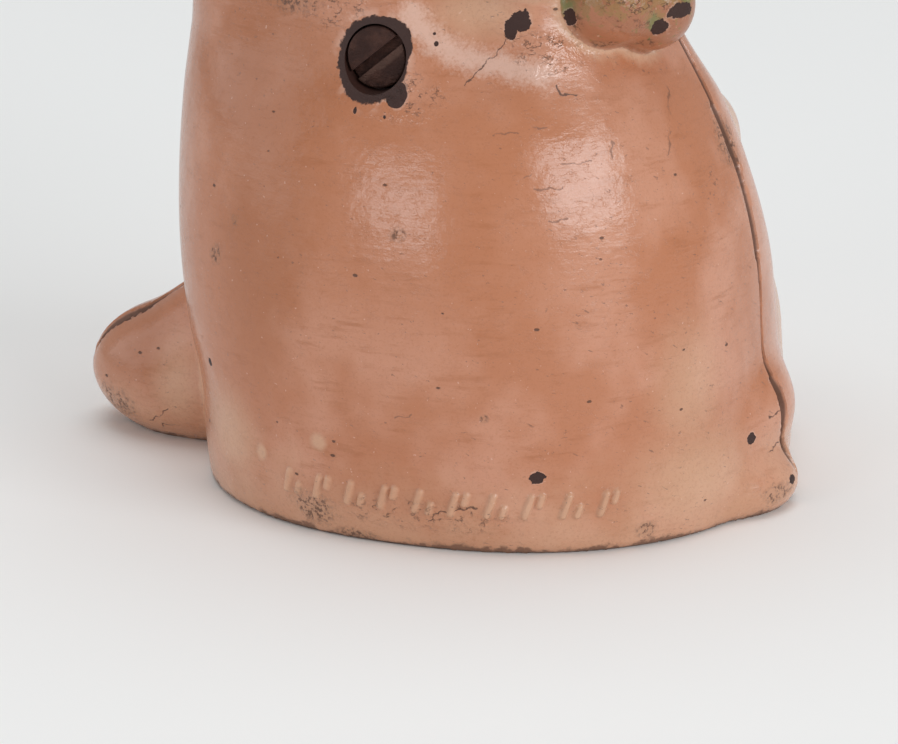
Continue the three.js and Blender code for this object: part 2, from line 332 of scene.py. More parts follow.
def swell(form, middle, segments, rings, reach=75):
    """Adds a ball and sets each corner where the form's skin is, seen from a middle point."""
    bpy.ops.mesh.primitive_uv_sphere_add(segments=segments, ring_count=rings, radius=1)
    ball = bpy.context.object
    directions = corners(ball)
    directions /= np.linalg.norm(directions, axis=1)[:, None]
    far = np.full(len(directions), float(reach))
    for _ in range(int(reach)):
        outside = form(middle + directions * far[:, None]) > 0
        far[outside] = np.maximum(far[outside] - 1, 1)
    near = far + 1
    for _ in range(HALVINGS):
        half = (far + near) / 2
        inside = form(middle + directions * half[:, None]) < 0
        far = np.where(inside, half, far)
        near = np.where(inside, near, half)
    place_corners(ball, middle + directions * far[:, None])
    return ball


def settle(piece, form, rounds):
    """Moves each corner in or out, square to the figure's skin, until it lies on a form's skin."""
    points = corners(piece)
    step = 0.01
    furthest = 1.2
    for _ in range(rounds):
        here = figure(points)
        slope = np.stack([(figure(points + step * axis) - here) / step for axis in np.eye(3)], axis=1)
        steepness = np.linalg.norm(slope, axis=1) + 1e-6
        move = np.clip(form(points) / steepness, -furthest, furthest)
        points -= slope * (move / steepness)[:, None]
    place_corners(piece, points)


def refine(piece, wanted):
    """Splits the edges of a piece that have both ends in a wanted place."""
    mesh = bmesh.new()
    mesh.from_mesh(piece.data)
    chosen = wanted(corners(piece))
    edges = [edge for edge in mesh.edges if chosen[edge.verts[0].index] and chosen[edge.verts[1].index]]
    bmesh.ops.subdivide_edges(mesh, edges=edges, cuts=1, use_grid_fill=True)
    mesh.to_mesh(piece.data)
    mesh.free()


def work(piece, operation, tool):
    """Joins a tool to a piece, or cuts the piece by it, and takes the tool away."""
    apply_modifier(piece, "BOOLEAN", operation=operation, object=tool, solver="MANIFOLD")
    bpy.data.objects.remove(tool)


def egg_piece(middle, reach, segments, rings):
    bpy.ops.mesh.primitive_uv_sphere_add(
        segments=segments, ring_count=rings, radius=1, location=middle, scale=reach,
    )
    bpy.ops.object.transform_apply(location=True, rotation=True, scale=True)
    return bpy.context.object


def swell_pattern():
    """The pattern's lumps, each swelled out to its own form, joined into one closed skin."""
    lumps = [swell(body, (4, 0, 28), 64, 40), swell(head, (0, 0, 0), 56, 36, 60)]
    lumps[1].data.transform(HEAD_POSE)
    for eggs in (LEFT_FOOT, RIGHT_FOOT):
        lumps.append(swell(lambda points, eggs=eggs: foot(points, eggs), eggs[0][0], 32, 20, 45))
    for leg in FORELEGS:
        middle = (np.array(leg[0]) + leg[1]) / 2
        lumps.append(swell(lambda points, leg=leg: limb(points, *leg), middle, 28, 20, 45))
    for side in (-1, 1):
        middle = (side * EAR_MIDDLE[0], *EAR_MIDDLE[1:])
        lumps.append(swell(
            lambda points, side=side: np.maximum(ears(points), -side * points[:, 0]), middle, 28, 20, 45,
        ))
        lumps[-1].data.transform(HEAD_POSE)
    lumps += [egg_piece(middle, reach, 28, 18) for middle, reach, _ in PAWS + BOW]
    bpy.ops.mesh.primitive_torus_add(
        location=RIBBON_MIDDLE, major_radius=1, minor_radius=0.12, major_segments=80, minor_segments=12,
    )
    bpy.ops.transform.resize(value=(*RIBBON_REACH, RIBBON_REACH[0]))
    bpy.ops.object.transform_apply(location=True, rotation=True, scale=True)
    lumps.append(bpy.context.object)
    for lump in lumps[1:]:
        work(lumps[0], "UNION", lump)
    return lumps[0]


def mesh_pattern():
    """An even mesh on the pattern's skin, finer at the parting line and the marks."""
    pattern = swell_pattern()
    apply_modifier(pattern, "REMESH", mode="VOXEL", voxel_size=GRAIN)
    settle(pattern, figure, 3)
    for at_parting, at_marks in FINER:
        refine(pattern, lambda points: (np.abs(points[:, 1]) < at_parting) | (marks(points) < at_marks))
    settle(pattern, skin, 2)
    return pattern


# The hollow
# The core that leaves the bank empty: the body's and the head's shape, a wall's thickness smaller, and a
# throat between them. The floor is as thick as the wall.
WALL = 3
THROAT = ((8, 0, 75), (17, 12, 14))


def make_core():
    core = swell(lambda points: np.maximum(body(points) + WALL, WALL - points[:, 2]), (4, 0, 28), 48, 30)
    skull = swell(lambda points: head(points) + WALL, (0, 0, 0), 40, 26, 60)
    skull.data.transform(Matrix.Translation(HEAD_MIDDLE))
    throat = egg_piece(*THROAT, 32, 20)
    work(core, "UNION", skull)
    work(core, "UNION", throat)
    return core


# The two halves
# Each half is a shell open at the parting plane, with a post inside for the screw. The back half has the
# coin slot and the counterbored hole that the screw's head sits in.
PARTING_GAP = 0.3
SCREW_X, SCREW_Z = 6.7, 61.7
SCREW_BACK = 27.5
SCREW_HEAD_RADIUS = 4
SCREW_HEAD_THICKNESS = 2.8
SCREW_SHANK_RADIUS = 2.2
SCREW_TIP = -12
BORE_PAST_TIP = 2
SCREW_CLEARANCE = 0.3
POST_RADIUS = 6.2
POST_FRONT, POST_BACK = -18, 26
SLOT_MIDDLE = (9, 106)
SLOT_LENGTH, SLOT_WIDTH = 30, 3.4
SLOT_FRONT = 2
BEHIND_BODY = 45
BEHIND_HEAD = 62
BEYOND = 200

low_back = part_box("back_half")[0]
low_screw, high_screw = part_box("screw")
TO_FRAME = Vector(((low_screw.x + high_screw.x) / 2 - SCREW_X * MM, low_back.y - PARTING_GAP / 2 * MM, 0))


def box_piece(low, high):
    low, high = Vector(low), Vector(high)
    bpy.ops.mesh.primitive_cube_add(size=1, location=(low + high) / 2, scale=high - low)
    bpy.ops.object.transform_apply(location=True, rotation=True, scale=True)
    return bpy.context.object


def rod_piece(radius, front, back, sides):
    """A round bar along Y on the screw's axis."""
    bpy.ops.mesh.primitive_cylinder_add(
        vertices=sides, radius=radius, depth=back - front, rotation=(math.pi / 2, 0, 0),
        location=(SCREW_X, (front + back) / 2, SCREW_Z),
    )
    bpy.ops.object.transform_apply(location=True, rotation=True, scale=True)
    return bpy.context.object


def into_frame(piece):
    """Sets a piece made in millimetres from the base's middle down in the bank's own frame."""
    piece.data.transform(Matrix.Translation(TO_FRAME) @ Matrix.Scale(MM, 4))


def copy_of(piece, name):
    """A second piece with a mesh of its own."""
    twin = piece.copy()
    twin.data = piece.data.copy()
    twin.name = twin.data.name = name
    bpy.context.scene.collection.objects.link(twin)
    return twin


def drop_crumbs(piece):
    """Takes away the loose crumbs that a cut leaves, thinner than a hair."""
    choose(piece)
    bpy.ops.mesh.separate(type="LOOSE")
    parts = sorted(bpy.context.selected_objects, key=lambda part: len(part.data.vertices))
    name = piece.name
    for crumb in parts[:-1]:
        bpy.data.objects.remove(crumb)
    parts[-1].name = parts[-1].data.name = name
    return parts[-1]


def add_zone(piece, name, values):
    attribute = piece.data.attributes.new(name, "FLOAT", "POINT")
    attribute.data.foreach_set("value", values.astype(np.float32))


def add_zones(piece):
    """What the brush followed: how far each corner lies outside each painted form, in millimetres."""
    points = corners(piece)
    in_head = in_head_frame(points)
    on_face = mirrored(in_head)
    forms = [body(points), foot(points, LEFT_FOOT), foot(points, RIGHT_FOOT), head(in_head), ears(in_head)]
    forms += [limb(points, *leg) for leg in FORELEGS]
    forms += [egg(points, middle, reach) for middle, reach, _ in PAWS]
    bow = [ribbon(points)] + [egg(points, middle, reach) for middle, reach, _ in BOW]
    nearest = np.sort(np.stack(forms + [np.min(bow, axis=0)]), axis=0)
    add_zone(piece, "ribbon", np.min(bow, axis=0) - np.min(forms, axis=0))
    add_zone(piece, "ear", forms[4] - np.min(forms[:4], axis=0))
    add_zone(piece, "crease", np.clip(nearest[1], 0, 9))
    add_zone(piece, "nose", egg(on_face, *NOSE[:2]))
    add_zone(piece, "eye", egg(on_face, *EYE[:2]))
    add_zone(piece, "muzzle", egg(on_face, *MUZZLE[:2]))
    add_zone(piece, "mark", marks(points))
    add_zone(piece, "depth", -figure(points))


def make_half(pattern, core, node, side):
    """Parts one half from the pattern, behind the parting plane or before it, and hollows and drills it."""
    half = copy_of(pattern, node + "_cast")
    near, far = sorted((side * PARTING_GAP / 2, side * BEYOND))
    work(half, "INTERSECT", box_piece((-BEYOND, near, 0), (BEYOND, far, BEYOND)))
    work(half, "DIFFERENCE", copy_of(core, "core_copy"))
    if side > 0:
        work(half, "UNION", rod_piece(POST_RADIUS, PARTING_GAP / 2, POST_BACK, 48))
        slot_x, slot_z = SLOT_MIDDLE
        slot = box_piece(
            (slot_x - SLOT_LENGTH / 2, SLOT_FRONT, slot_z - SLOT_WIDTH / 2),
            (slot_x + SLOT_LENGTH / 2, BEHIND_HEAD, slot_z + SLOT_WIDTH / 2),
        )
        work(half, "DIFFERENCE", slot)
        seat = SCREW_BACK - SCREW_HEAD_THICKNESS - SCREW_CLEARANCE
        work(half, "DIFFERENCE", rod_piece(SCREW_HEAD_RADIUS + SCREW_CLEARANCE, seat, BEHIND_BODY, 96))
    else:
        work(half, "UNION", rod_piece(POST_RADIUS, POST_FRONT, -PARTING_GAP / 2, 48))
    work(half, "DIFFERENCE", rod_piece(
        SCREW_SHANK_RADIUS + SCREW_CLEARANCE, SCREW_TIP - BORE_PAST_TIP, BEHIND_BODY, 48,
    ))
    half = drop_crumbs(half)
    add_zones(half)
    into_frame(half)
    choose(half)
    bpy.ops.object.shade_smooth_by_angle(angle=math.radians(45))
    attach(half, "root")
    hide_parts(node)
    return half


pattern = mesh_pattern()
core = make_core()
back_half = make_half(pattern, core, "back_half", 1)
front_half = make_half(pattern, core, "front_half", -1)
bpy.data.objects.remove(pattern)
bpy.data.objects.remove(core)


# The enamel
# Old oil enamel brushed over the bare casting: tan orange, paler in the creases and along the base, a
# green ribbon, dark ears. It has crazed, gathered dirt, and chipped through to dark brown iron. Light and
# shade are painted into it in places: a highlight, paler patches, darker paint on the left and shadows.
class Shade:
    """A number, colour or vector on its way through a material's nodes."""

    def __init__(self, tree, socket):
        self.tree = tree
        self.socket = socket

    def make(self, kind, values, output=0, **settings):
        """One more node in the same material, with its settings and socket values, and what it gives."""
        node = self.tree.nodes.new(kind)
        for name, value in settings.items():
            setattr(node, name, value)
        for name, value in values.items():
            if isinstance(value, Shade):
                self.tree.links.new(value.socket, node.inputs[name])
            else:
                node.inputs[name].default_value = value
        return Shade(self.tree, node.outputs[output])

    def maths(self, operation, first, second=0.0):
        return self.make("ShaderNodeMath", {0: first, 1: second}, operation=operation)

    def __add__(self, other):
        return self.maths("ADD", self, other)

    def __radd__(self, other):
        return self.maths("ADD", other, self)

    def __sub__(self, other):
        return self.maths("SUBTRACT", self, other)

    def __rsub__(self, other):
        return self.maths("SUBTRACT", other, self)

    def __mul__(self, other):
        return self.maths("MULTIPLY", self, other)

    def __rmul__(self, other):
        return self.maths("MULTIPLY", other, self)

    def least(self, other):
        return self.maths("MINIMUM", self, other)

    def most(self, other):
        return self.maths("MAXIMUM", self, other)

    def rise(self, low, high):
        """0 below low, 1 above high and smooth between; with low above high it falls instead."""
        values = {"Value": self, "From Min": low, "From Max": high}
        return self.make("ShaderNodeMapRange", values, interpolation_type="SMOOTHSTEP")

    def blend(self, first, second):
        """The first colour where this number is 0, the second where it is 1."""
        return self.make("ShaderNodeMix", {0: self, 6: first, 7: second}, 2, data_type="RGBA")

    def painted(self, other, share):
        """This colour, painted over by another by a share of 0 to 1."""
        return share.blend(self, other)

    def vector(self, operation, other=(0, 0, 0), output=0):
        return self.make("ShaderNodeVectorMath", {0: self, 1: other}, output, operation=operation)

    def part(self, axis):
        return self.make("ShaderNodeSeparateXYZ", {"Vector": self}, axis)

    def noise(self, scale, detail=2.0, roughness=0.5):
        values = {"Vector": self, "Scale": scale, "Detail": detail, "Roughness": roughness}
        return self.make("ShaderNodeTexNoise", values)

    def from_egg(self, middle, reach):
        """How many reaches away from a middle point the surface is."""
        return self.vector("SUBTRACT", middle).vector("DIVIDE", reach).vector("LENGTH", output="Value")

    def from_line(self, start, end):
        """How far the surface is from a straight line between two points."""
        along = Vector(end) - Vector(start)
        offset = self.vector("SUBTRACT", start)
        share = offset.vector("DOT_PRODUCT", tuple(along), "Value") * (1 / along.length_squared)
        share = share.most(0).least(1)
        nearest = share.make("ShaderNodeVectorMath", {0: tuple(along), "Scale": share}, operation="SCALE")
        return offset.vector("DISTANCE", nearest, "Value")


def start_material(name):
    """A material, its shader, and the surface's place in millimetres from the base's middle."""
    material = bpy.data.materials.new(name)
    material.use_nodes = True
    tree = material.node_tree
    shader = tree.nodes["Principled BSDF"]
    place = Shade(tree, tree.nodes.new("ShaderNodeTexCoord").outputs["Object"])
    return material, shader, place.vector("SUBTRACT", tuple(TO_FRAME)).vector("DIVIDE", (MM, MM, MM))


def zone(place, name):
    """What add_zones wrote on the corners under this name, in millimetres."""
    return place.make("ShaderNodeAttribute", {}, "Fac", attribute_type="GEOMETRY", attribute_name=name)


def least_of(distances):
    nearest = distances[0]
    for distance in distances[1:]:
        nearest = nearest.least(distance)
    return nearest


def nearest_egg(place, eggs):
    return least_of([place.from_egg(middle, reach) for middle, reach in eggs])


def nearest_line(place, lines, depth=1.0):
    """How far the nearest line is, with distances along Y counting for a share of their depth."""
    squeeze = np.array((1, depth, 1))
    place = place.vector("MULTIPLY", tuple(squeeze))
    return least_of([place.from_line(tuple(start * squeeze), tuple(end * squeeze)) for start, end in lines])


TAN = (0.515, 0.195, 0.097, 1)
ROSE_TAN = (0.61, 0.275, 0.17, 1)
DEEP_TAN = (0.39, 0.13, 0.05, 1)
CREAM = (0.7, 0.43, 0.28, 1)
PALE = (0.8, 0.52, 0.42, 1)
BARE_IRON = (0.04, 0.011, 0.006, 1)
DIRT_AND_SHADE_BROWN = (0.085, 0.036, 0.022, 1)
GREEN_DIRT = (0.17, 0.15, 0.085, 1)
GREEN = (0.14, 0.19, 0.055, 1)
EAR_BROWN = (0.2, 0.075, 0.035, 1)
RUSSET = (0.42, 0.16, 0.08, 1)
OCHRE = (0.33, 0.17, 0.06, 1)
BLACK = (0.012, 0.011, 0.011, 1)

# Where the enamel is gone down to the iron, round the screw and in chips, as eggs: middle and reach.
# The places below it are eggs too, or straight lines from one point to another.
BARE_ROUND_SCREW = [
    ((7.0, 28, 61.6), (4.9, 9, 5.5)),
    ((5.4, 28, 63.5), (3.6, 9, 3.6)),
    ((3.0, 29, 57.6), (1.5, 3, 1.7)),
]
CHIPS = [
    ((-10.9, 22.6, 66.9), (1.2, 4, 1.4)),
    ((-9.8, 23.4, 65.9), (0.9, 4, 1.3)),
    ((-16.6, 19.8, 67.3), (0.9, 4, 1.1)),
    ((-26.7, 14.6, 65.6), (1.1, 2, 1.1)),
    ((-28.9, 12.6, 67.6), (1.6, 2.2, 1.0)),
    ((-37.9, 7.7, 10.3), (1.0, 0.9, 0.8)),
    ((-18.0, 35.0, 10.9), (1.0, 1, 0.75)),
    ((30.2, 27.9, 19.0), (0.5, 0.6, 0.6)),
    ((-0.6, 26, 65.1), (0.2, 1, 0.2)),
    ((-1.0, 26.5, 63.9), (0.25, 1, 0.3)),
    ((8.9, 30.0, 57.0), (0.35, 0.8, 0.4)),
    ((8.3, 30.8, 55.5), (0.25, 0.8, 0.4)),
    ((4.1, 31.3, 55.1), (0.2, 0.8, 0.2)),
    ((-42.6, 3.6, 4.0), (0.8, 1.2, 0.7)),
]

# Fine dark scratches and cracks, straight from one point to the next. Depth along Y counts for little
# in them, so that they show where they run a little above or below the skin.
LINE_DEPTH = 0.35
SCRATCHES = [
    ((-9.9, 23.1, 65.4), (-8.8, 24.1, 63.5)),
    ((-8.8, 24.1, 63.5), (-7.3, 25.5, 61.7)),
    ((-7.3, 25.5, 61.7), (-5.4, 27.8, 59.3)),
    ((-16.0, 23.7, 59.4), (-16.8, 24.0, 58.2)),
    ((-16.8, 24.0, 58.2), (-18.5, 22.5, 57.9)),
    ((45.1, 8.8, 5.3), (48.6, 6.8, 2.6)),
    ((47.0, 6.6, 2.2), (43.7, 7.3, 2.9)),
    ((-39.7, 0.3, 8.3), (-39.4, 3.5, 7.9)),
    ((-39.4, 3.5, 7.9), (-38.8, 6.8, 7.0)),
    ((-39.8, 0.5, 12.6), (-39.0, 3.9, 12.1)),
    ((-5.8, 37.6, 5.7), (-10.4, 37.1, 6.8)),
    ((-4.3, 37.3, 4.1), (-5.8, 37.6, 5.7)),
]

# Wrinkles in the enamel, all nearly level
WRINKLES = [
    ((-14.9, 28.0, 54.5), (-16.2, 27.1, 54.5)),
    ((-18.6, 27.8, 50.2), (-21.4, 25.3, 50.4)),
    ((-14.7, 31.0, 48.8), (-15.6, 30.5, 49.1)),
    ((-16.0, 30.9, 47.4), (-19.0, 28.9, 47.5)),
    ((-18.1, 31.1, 43.5), (-20.0, 29.8, 43.8)),
    ((-10.3, 30.6, 53.8), (-13.0, 29.3, 54.1)),
    ((-23.1, 22.1, 52.2), (-23.5, 23.0, 50.3)),
    ((-26.2, 9.5, 56.6), (-28.4, 15.1, 49.3)),
    ((-0.3, 38.9, 18.0), (-2.6, 38.8, 18.6)),
]

# Where the cream gathered, by the heel and where the left foot meets the body; and painted light: paler
# paint low on the left and the right and in the hollow, where more light falls on them
CREAM_AND_PAINTED_LIGHT = [
    ((-33, 19, 7), (17, 15, 11)),
    ((43.5, 8, 8), (6, 9, 10)),
    ((27, 30, 10), (10, 11, 9)),
    ((-35, 22, 20), (7, 11, 14)),
    ((-6, 24, 68), (9, 8, 5)),
]

# Painted shade: darker paint left of the middle of the back, on the left shoulder and side, and on the left
# foot, where less light falls
PAINTED_SHADE_EGGS = [
    ((20, 33, 40), (10, 15, 24)),
    ((22, 27, 58), (16, 22, 14)),
    ((38, 10, 48), (9, 20, 34)),
    ((53, 2, 13), (12, 14, 9)),
]

# A painted highlight: paler paint along the hollow's lower edge, where the ridge catches the light; and two
# pale spots above the marks
RIDGE_HIGHLIGHT_LINES = [
    ((2.3, 26.6, 67.6), (-0.9, 26.8, 64.2)),
    ((-0.9, 26.8, 64.2), (-4.8, 26.4, 62.6)),
    ((-4.8, 26.4, 62.6), (-11.5, 25, 61.2)),
    ((-11.5, 25, 61.2), (-14.5, 24, 60.5)),
]
PALE_SPOTS = [
    ((10.9, 37.7, 13.2), (1.4, 3, 1.4)),
    ((20.3, 34.0, 9.6), (1.0, 3, 1.3)),
]

# What is left of the ribbon's green on the low loop of the bow
STREAKS = [
    ((-21.5, 18.5, 70.5), (-26.2, 15, 66.4)),
    ((-15.5, 21, 71), (-16.3, 20.3, 68.5)),
    ((-29.4, 11.5, 69.5), (-29.6, 11.5, 71)),
]

# Rubbed-in dirt, and dark speckled smudges
SMUDGES = [
    ((28.4, 29.8, 34.4), (1.5, 2, 1.8)),
    ((24.9, 31.2, 39.6), (0.8, 2, 0.9)),
    ((-31.5, 0.5, 48.5), (2.5, 4, 6)),
    ((12.5, 36.0, 3.6), (5, 2, 3)),
    ((6.5, 35.8, 0.6), (4, 2, 1.3)),
    ((-29.5, 25.6, 2.4), (1.8, 2, 1.5)),
    ((-11.7, 37.5, 18.8), (0.7, 2, 0.7)),
    ((54.0, 5.0, 4.5), (5, 5, 3)),
    ((0.5, 37.0, 41.5), (1.6, 2, 1.2)),
    ((21, 25.5, 67.5), (7, 4, 2)),
    ((-20.6, 17.6, 63.6), (2.2, 2, 0.8)),
    ((-24.8, 14, 63.3), (1.5, 2, 0.8)),
    ((-17.2, 20.6, 66.5), (1.5, 2, 2.5)),
    ((-41, 6.5, 3), (2.5, 4, 1.6)),
]

# Old paint that has crazed into scales
CRAZED = [
    ((-24.5, 15, 69.5), (7, 8, 5)),
    ((-15.0, 23.0, 63.0), (6, 5, 3)),
    ((13.5, 26.0, 67.5), (6, 3, 3)),
    ((-3, 37, 5), (14, 3, 2.5)),
    ((2, 29.5, 57), (6, 3, 4)),
]


def enamel():
    """The one material of both halves, from the coat of colour to dirt, painted light and shade, chips and
    relief.
    """
    material, shader, place = start_material("old_enamel")
    links = material.node_tree.links
    height = place.part(2)
    wander = place.noise(0.7, 3, 0.6) - 0.5
    cloud = place.noise(0.06, 3, 0.55)
    patch = place.vector("ADD", (40, 0, 0)).noise(0.16, 4, 0.6)
    brushed = place.vector("MULTIPLY", (0.14, 0.14, 0.9)).noise(1, 5, 0.65)

    # Brushed coat: darker in the middle of the back, rosier at its sides, creamy where it ran down; painted
    # light makes it paler low on both sides and in the hollow, painted shade darker on the left, and a
    # painted highlight runs along the hollow's edge
    colour = cloud.rise(0.42, 0.62).blend(TAN, ROSE_TAN)
    middle = (place.from_egg((-2, 34, 42), (26, 22, 20)) + wander * 0.3).rise(1.1, 0.3)
    colour = colour.painted(TAN, middle * 0.75)
    colour = colour.painted(DEEP_TAN, brushed.rise(0.5, 0.72) * patch.rise(0.35, 0.6) * 0.5)
    settled = (height + patch * 14).rise(21, 6) * 0.5
    creases = (zone(place, "crease") + wander * 2).rise(2.6, 0.3) * 0.75
    # Cream that ran down, and painted light low on both sides and in the hollow
    cream_and_painted_light = (nearest_egg(place, CREAM_AND_PAINTED_LIGHT) + wander * 0.2).rise(1.1, 0.1) * 0.6
    colour = colour.painted(CREAM, settled.most(creases).most(cream_and_painted_light))
    mottled = place.noise(2.6, 3, 0.7)
    colour = colour.painted(DEEP_TAN, mottled.rise(0.5, 0.7) * 0.22)
    # Painted shade on the left side and left of the middle of the back
    painted_shade = (nearest_egg(place, PAINTED_SHADE_EGGS) + wander * 0.3).rise(1.15, 0.35)
    colour = colour.painted(DEEP_TAN, painted_shade * 0.55)
    # Painted highlight: paler paint along the ridge at the hollow's lower edge
    ridge_highlight = (nearest_line(place, RIDGE_HIGHLIGHT_LINES) + wander * 2.5 + (mottled - 0.5) * 3).rise(2.9, 0.4)
    spots = (nearest_egg(place, PALE_SPOTS) + wander * 0.5).rise(1.2, 0.4)
    colour = colour.painted(CREAM, spots * 0.6)
    colour = colour.painted(PALE, ridge_highlight * 0.7)

    # The face, ears and bow, painted over it
    colour = colour.painted(EAR_BROWN, (zone(place, "ear") + wander * 0.8).rise(0.4, 0.1))
    colour = colour.painted(PALE, (zone(place, "muzzle") + wander).rise(0.9, 0.4))
    colour = colour.painted(BLACK, zone(place, "eye").least(zone(place, "nose")).rise(0.25, 0.1))
    bow = (zone(place, "ribbon") + wander * 0.8).rise(0.4, 0.1)
    worn = place.noise(0.8, 4, 0.7)
    streak = (nearest_line(place, STREAKS) + (worn - 0.5) * 3).rise(1.5, 0.8)
    still_green = bow * streak.most((worn + height.rise(69, 76) * 0.3).rise(0.62, 0.7))
    colour = colour.painted(RUSSET, bow * 0.85)
    colour = colour.painted(OCHRE, bow * (worn + height.rise(65, 70) * 0.2).rise(0.58, 0.68) * 0.8)
    colour = colour.painted(GREEN, still_green * 0.7)
    colour = colour.painted(CREAM, (zone(place, "mark") + wander * 0.3).rise(0.75, 0.3) * 0.45)

    # Crazing, pits and dirt, with painted shade in the parting groove and a painted shadow along the base
    crazed = (nearest_egg(place, CRAZED) + wander).rise(1.1, 0.5)
    vein = place.vector("MULTIPLY", (0.8, 0.8, 1.3)).noise(0.55, 4, 0.62) - 0.5
    broken = place.noise(0.5, 3, 0.6).rise(0.47, 0.55)
    cracks = vein.maths("ABSOLUTE", vein).rise(0.02, 0.005) * broken * crazed.most(0.1)
    flat = place.vector("MULTIPLY", (0.55, 0.55, 1))
    cell = {"Vector": flat, "Scale": 0.62}
    chance = place.make("ShaderNodeTexVoronoi", cell, "Color").part(0)
    reach = (chance - 1.0 + patch * 0.36 + wander * 0.3) * 0.9
    pits = (place.make("ShaderNodeTexVoronoi", cell) - reach.least(0.13)).rise(0.02, -0.04)
    shaken = place.vector("ADD", wander.vector("MULTIPLY", (1.4, 1.4, 1.4)))
    busy = patch + place.from_egg((-30, 14, 30), (24, 30, 40)).rise(1.1, 0.5) * 0.1
    nicks = (shaken.vector("MULTIPLY", (1, 1, 2.6)).noise(1.25, 3, 0.6) + busy * 0.2).rise(0.765, 0.81)
    flecks = place.noise(1.9, 1).rise(0.75, 0.8)
    grit = place.noise(1.6, 3, 0.7)
    smudged = (nearest_egg(place, SMUDGES) + wander * 0.8).rise(1.1, 0.4)
    grime = smudged * grit.rise(0.46, 0.6)
    # Painted contact shadow and dirt, dark along the base's lower edge
    base_shadow_and_dirt = (height + wander * 3 - patch.rise(0.45, 0.6) * 0.6).rise(0.7, 0.0) * 0.8
    scratch = nearest_line(shaken, SCRATCHES, LINE_DEPTH).rise(0.16, 0.05)
    scratch = scratch.most(nearest_line(shaken, WRINKLES, LINE_DEPTH).rise(0.16, 0.05) * 0.6)
    # Dirt and painted shade in the eased groove along the parting line
    seam_dirt_and_shade = (zone(place, "depth") + wander * 0.2).rise(0.12, 0.45) * 0.9
    dirt_and_shade = pits.most(cracks * 0.75).most(nicks * 0.6).most(grime * 0.9)
    dirt_and_shade = dirt_and_shade.most(base_shadow_and_dirt).most(scratch).most(seam_dirt_and_shade)
    colour = colour.painted(PALE, flecks * 0.4)
    colour = colour.painted(GREEN_DIRT, smudged * 0.12)
    # Darkened by dirt, and by painted shade in the groove and a painted shadow along the base
    colour = colour.painted(DIRT_AND_SHADE_BROWN, dirt_and_shade * 0.85)

    # Chips, with the lighter broken edge of the paint round them, and the bare inside of the casting
    splintered = place.noise(1.1, 3, 0.6) - 0.5
    ragged = (nearest_egg(place, BARE_ROUND_SCREW) + splintered * 0.25).least(
        nearest_egg(place, CHIPS) + splintered * 1.3
    )
    bare = ragged.rise(1.02, 0.97).most(zone(place, "depth").rise(0.8, 1.3))
    edge = ragged.rise(1.28, 1.02) * place.noise(0.45, 1).rise(0.48, 0.56)
    colour = colour.painted(PALE, edge * 0.28)
    colour = colour.painted(BARE_IRON, bare)
    links.new(colour.socket, shader.inputs["Base Color"])
    dull = dirt_and_shade.most(bare)
    roughness = place.noise(0.35, 4, 0.65) * 0.12 + 0.13 + dull * 0.4 + bow * 0.1
    links.new(roughness.socket, shader.inputs["Roughness"])

    # What the light catches: brush marks, the casting's grain, and the step down where paint is missing
    grain = place.noise(0.9, 3, 0.55)
    relief = brushed * 0.05 + grain * 0.045 + place.noise(0.2, 2) * 0.14
    relief = relief + grit * 0.02 + grit * bare * 0.08
    relief = relief - pits * 0.1 - cracks * 0.09 - bare * 0.13
    relief = relief + spots * 0.06 + crazed * place.noise(0.9, 2) * 0.25
    bump = place.make("ShaderNodeBump", {"Height": relief, "Distance": MM, "Strength": 1.0})
    links.new(bump.socket, shader.inputs["Normal"])
    return material


paint = enamel()
for half, slot in ((back_half, "back_paint"), (front_half, "front_paint")):
    half.data.materials.clear()
    half.data.materials.append(paint)


# The screw
# One large slotted cheese-head iron screw, turned, put in from the back and browned with the casting.
SLOT_CUT_WIDTH, SLOT_CUT_DEPTH = 1.3, 1.1
SLOT_CUT_LENGTH = 12
SLOT_CUT_TURN = math.radians(40)
SCREW_EDGE = 0.35
SHANK_IN_HEAD = 0.5


def make_screw():
    bpy.ops.mesh.primitive_cylinder_add(
        vertices=96, radius=SCREW_HEAD_RADIUS, depth=SCREW_HEAD_THICKNESS, rotation=(-math.pi / 2, 0, 0),
        location=(SCREW_X, SCREW_BACK - SCREW_HEAD_THICKNESS / 2, SCREW_Z),
    )
    bpy.ops.object.transform_apply(location=True, rotation=True, scale=True)
    screw = bpy.context.object
    screw.name = screw.data.name = "screw_turned"
    apply_modifier(screw, "BEVEL", width=SCREW_EDGE, segments=4, limit_method="ANGLE")
    shank_end = SCREW_BACK - SCREW_HEAD_THICKNESS + SHANK_IN_HEAD
    shank = rod_piece(SCREW_SHANK_RADIUS, SCREW_TIP, shank_end, 48)
    work(screw, "UNION", shank)
    bpy.ops.mesh.primitive_cube_add(
        size=1, location=(SCREW_X, SCREW_BACK, SCREW_Z), rotation=(0, SLOT_CUT_TURN, 0),
        scale=(SLOT_CUT_LENGTH, 2 * SLOT_CUT_DEPTH, SLOT_CUT_WIDTH),
    )
    bpy.ops.object.transform_apply(location=True, rotation=True, scale=True)
    work(screw, "DIFFERENCE", bpy.context.object)
    into_frame(screw)
    choose(screw)
    bpy.ops.object.shade_smooth_by_angle(angle=math.radians(40))
    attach(screw, "root")
    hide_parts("screw")
    return screw


BROWNED = (0.075, 0.026, 0.016, 1)
WORN_IRON = (0.14, 0.07, 0.05, 1)
BURR = ((10.6, SCREW_BACK, 57.2), (3.4, SCREW_BACK, 63.2))


